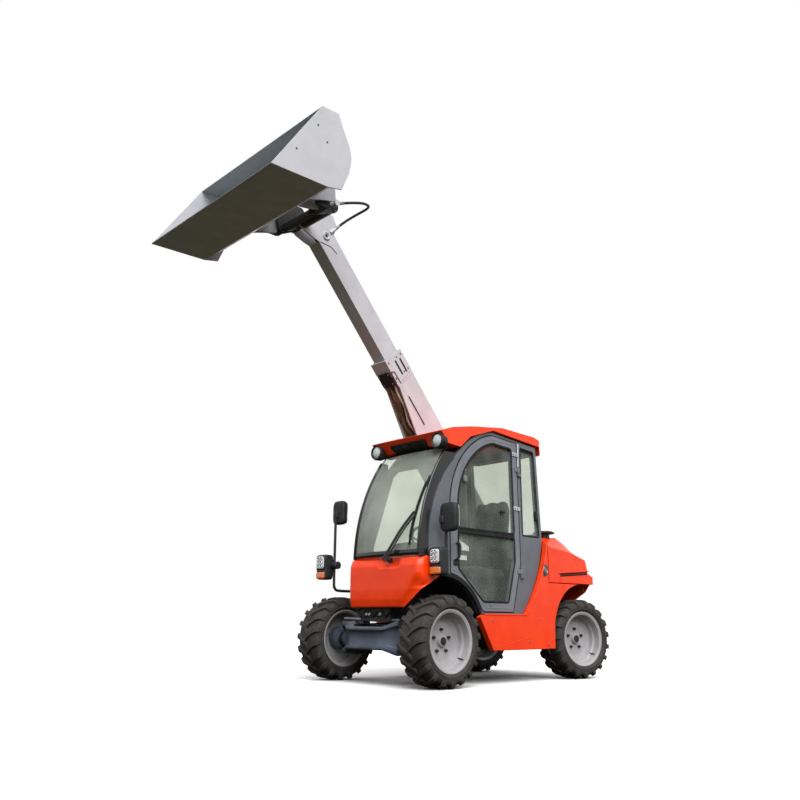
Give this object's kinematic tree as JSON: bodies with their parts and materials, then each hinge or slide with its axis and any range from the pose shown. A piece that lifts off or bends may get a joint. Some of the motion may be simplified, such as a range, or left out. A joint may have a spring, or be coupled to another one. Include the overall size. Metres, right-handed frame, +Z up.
{
  "type": "compact telehandler with loader bucket",
  "caption": "Compact telehandler: offset telescopic boom with a raised bucket, glazed cab with rear-hinged door, steered axles, opening engine hood and hydraulic cylinders.",
  "frame": {"origin": "on the ground, under the middle of the box around the whole machine", "axes": "+X is the machine's left side, with the door; -Y is its front; +Z is up"},
  "size_m": [1.756, 4.1806, 4.262],
  "materials": {
    "chassis_frame": "painted",
    "engine_block": "cast, dark",
    "cab_frame": "painted",
    "cab_floor": "moulded, matt",
    "cab_roof": "moulded, glossy",
    "windscreen": "tinted safety glass",
    "cab_glass": "tinted safety glass",
    "front_panel": "painted",
    "left_skirt": "painted",
    "hydraulic_tank": "painted",
    "tow_hitch": "painted",
    "seat": "vinyl cover",
    "dashboard": "moulded, matt",
    "wiper": "moulded, matt",
    "mirrors": "moulded, matt",
    "lamps": "moulded, matt",
    "front_axle": "painted",
    "rear_axle": "painted",
    "steering_wheel": "moulded, matt",
    "door": "painted",
    "door_glass": "tinted safety glass",
    "engine_hood": "painted",
    "boom_outer": "painted",
    "boom_inner": "painted",
    "auxiliary_hose": "braided sleeve",
    "carriage": "painted",
    "bucket": "painted",
    "lift_cylinder": "painted",
    "lift_rod": "hard chrome",
    "tilt_cylinder": "painted",
    "tilt_rod": "hard chrome",
    "front_left_knuckle": "painted",
    "front_left_rim": "painted",
    "front_left_tyre": "moulded rubber",
    "front_right_knuckle": "painted",
    "front_right_rim": "painted",
    "front_right_tyre": "moulded rubber",
    "front_steering_rod": "hard chrome",
    "rear_left_knuckle": "painted",
    "rear_left_rim": "painted",
    "rear_left_tyre": "moulded rubber",
    "rear_right_knuckle": "painted",
    "rear_right_rim": "painted",
    "rear_right_tyre": "moulded rubber",
    "rear_steering_rod": "hard chrome"
  },
  "bodies": {
    "chassis": {"chassis_frame": "chassis_frame", "engine_block": "engine_block", "cab_frame": "cab_frame", "cab_floor": "cab_floor", "cab_roof": "cab_roof", "windscreen": "windscreen", "cab_glass": "cab_glass", "front_panel": "front_panel", "left_skirt": "left_skirt", "hydraulic_tank": "hydraulic_tank", "tow_hitch": "tow_hitch", "seat": "seat", "dashboard": "dashboard", "wiper": "wiper", "mirrors": "mirrors", "lamps": "lamps", "front_axle": "front_axle", "rear_axle": "rear_axle"},
    "steering_wheel": {"steering_wheel": "steering_wheel"},
    "door": {"door": "door", "door_glass": "door_glass"},
    "engine_hood": {"engine_hood": "engine_hood"},
    "boom": {"boom_outer": "boom_outer"},
    "telescope": {"boom_inner": "boom_inner", "auxiliary_hose": "auxiliary_hose"},
    "carriage": {"carriage": "carriage", "bucket": "bucket"},
    "lift_cylinder": {"lift_cylinder": "lift_cylinder"},
    "lift_rod": {"lift_rod": "lift_rod"},
    "tilt_cylinder": {"tilt_cylinder": "tilt_cylinder"},
    "tilt_rod": {"tilt_rod": "tilt_rod"},
    "front_left_knuckle": {"front_left_knuckle": "front_left_knuckle"},
    "front_left_wheel": {"front_left_rim": "front_left_rim", "front_left_tyre": "front_left_tyre"},
    "front_right_knuckle": {"front_right_knuckle": "front_right_knuckle"},
    "front_right_wheel": {"front_right_rim": "front_right_rim", "front_right_tyre": "front_right_tyre"},
    "front_steering_rod": {"front_steering_rod": "front_steering_rod"},
    "rear_left_knuckle": {"rear_left_knuckle": "rear_left_knuckle"},
    "rear_left_wheel": {"rear_left_rim": "rear_left_rim", "rear_left_tyre": "rear_left_tyre"},
    "rear_right_knuckle": {"rear_right_knuckle": "rear_right_knuckle"},
    "rear_right_wheel": {"rear_right_rim": "rear_right_rim", "rear_right_tyre": "rear_right_tyre"},
    "rear_steering_rod": {"rear_steering_rod": "rear_steering_rod"}
  },
  "joints": [
    {"name": "front_left_steer", "type": "hinge", "parent": "chassis", "child": "front_left_knuckle", "pos_m": [0.45, -0.1403, 0.35], "axis": [0, 0, 1], "range_deg": [-25, 25]},
    {"name": "front_left_spin", "type": "hinge", "parent": "front_left_knuckle", "child": "front_left_wheel", "pos_m": [0.6275, -0.1403, 0.35], "axis": [1, 0, 0], "continuous": true},
    {"name": "front_right_steer", "type": "hinge", "parent": "chassis", "child": "front_right_knuckle", "pos_m": [-0.45, -0.1403, 0.35], "axis": [0, 0, 1], "range_deg": [-25, 25]},
    {"name": "front_right_spin", "type": "hinge", "parent": "front_right_knuckle", "child": "front_right_wheel", "pos_m": [-0.6275, -0.1403, 0.35], "axis": [1, 0, 0], "continuous": true},
    {"name": "front_rod_slide", "type": "slide", "parent": "chassis", "child": "front_steering_rod", "axis": [1, 0, 0], "range_m": [-0.04699, 0.04699]},
    {"name": "rear_left_steer", "type": "hinge", "parent": "chassis", "child": "rear_left_knuckle", "pos_m": [0.45, 1.6997, 0.35], "axis": [0, 0, 1], "range_deg": [-15, 35]},
    {"name": "rear_left_spin", "type": "hinge", "parent": "rear_left_knuckle", "child": "rear_left_wheel", "pos_m": [0.6248, 1.66888, 0.35], "axis": [0.9848, -0.1736, 0], "continuous": true},
    {"name": "rear_right_steer", "type": "hinge", "parent": "chassis", "child": "rear_right_knuckle", "pos_m": [-0.45, 1.6997, 0.35], "axis": [0, 0, 1], "range_deg": [-15, 35]},
    {"name": "rear_right_spin", "type": "hinge", "parent": "rear_right_knuckle", "child": "rear_right_wheel", "pos_m": [-0.6248, 1.73052, 0.35], "axis": [0.9848, -0.1736, 0], "continuous": true},
    {"name": "rear_rod_slide", "type": "slide", "parent": "chassis", "child": "rear_steering_rod", "axis": [1, 0, 0], "range_m": [-0.06558, 0.02839]},
    {"name": "steering_wheel_turn", "type": "hinge", "parent": "chassis", "child": "steering_wheel", "pos_m": [0.25, 0.1217, 1.14], "axis": [0, 0.766, 0.6428], "range_deg": [-351, 351]},
    {"name": "door_hinge", "type": "hinge", "parent": "chassis", "child": "door", "pos_m": [0.67, 0.8627, 1.4], "axis": [0, 0, 1], "range_deg": [0, 90]},
    {"name": "hood_hinge", "type": "hinge", "parent": "chassis", "child": "engine_hood", "pos_m": [0.28, 1.2317, 1.24], "axis": [1, 0, 0], "range_deg": [0, 50]},
    {"name": "boom_lift", "type": "hinge", "parent": "chassis", "child": "boom", "pos_m": [-0.29, 1.6197, 1.22], "axis": [-1, 0, 0], "range_deg": [-63, 11]},
    {"name": "boom_telescope", "type": "slide", "parent": "boom", "child": "telescope", "axis": [0, -0.6613, 0.7501], "range_m": [-1.1, 0]},
    {"name": "bucket_tilt", "type": "hinge", "parent": "telescope", "child": "carriage", "pos_m": [-0.29, -0.99677, 3.94586], "axis": [-1, 0, 0], "range_deg": [-40, 78]},
    {"name": "lift_cylinder_swing", "type": "hinge", "parent": "chassis", "child": "lift_cylinder", "pos_m": [-0.29, 0.6097, 0.46], "axis": [-1, 0, 0], "range_deg": [-2.91, 16.45]},
    {"name": "lift_rod_slide", "type": "slide", "parent": "lift_cylinder", "child": "lift_rod", "axis": [0, 0.532, 0.8468], "range_m": [-0.35526, 0.06244]},
    {"name": "tilt_cylinder_swing", "type": "hinge", "parent": "telescope", "child": "tilt_cylinder", "pos_m": [-0.29, -0.58594, 3.74147], "axis": [-1, 0, 0], "range_deg": [-3.48, 6.75]},
    {"name": "tilt_rod_slide", "type": "slide", "parent": "tilt_cylinder", "child": "tilt_rod", "axis": [0, -0.8019, 0.5975], "range_m": [-0.1214, 0.0625]}
  ],
  "couplings": [
    {"joint": "front_right_steer", "follows": "front_left_steer", "ratio": 1},
    {"joint": "front_rod_slide", "follows": "front_left_steer", "m_per_rad": -0.10654},
    {"joint": "rear_right_steer", "follows": "rear_left_steer", "ratio": 1},
    {"joint": "rear_rod_slide", "follows": "rear_left_steer", "m_per_rad": -0.10654},
    {"joint": "steering_wheel_turn", "follows": "front_left_steer", "ratio": 14},
    {"joint": "lift_cylinder_swing", "follows": "boom_lift", "ratio": -0.26038},
    {"joint": "lift_rod_slide", "follows": "boom_lift", "m_per_rad": 0.32264},
    {"joint": "tilt_cylinder_swing", "follows": "bucket_tilt", "ratio": 0.08585},
    {"joint": "tilt_rod_slide", "follows": "bucket_tilt", "m_per_rad": -0.08881}
  ]
}
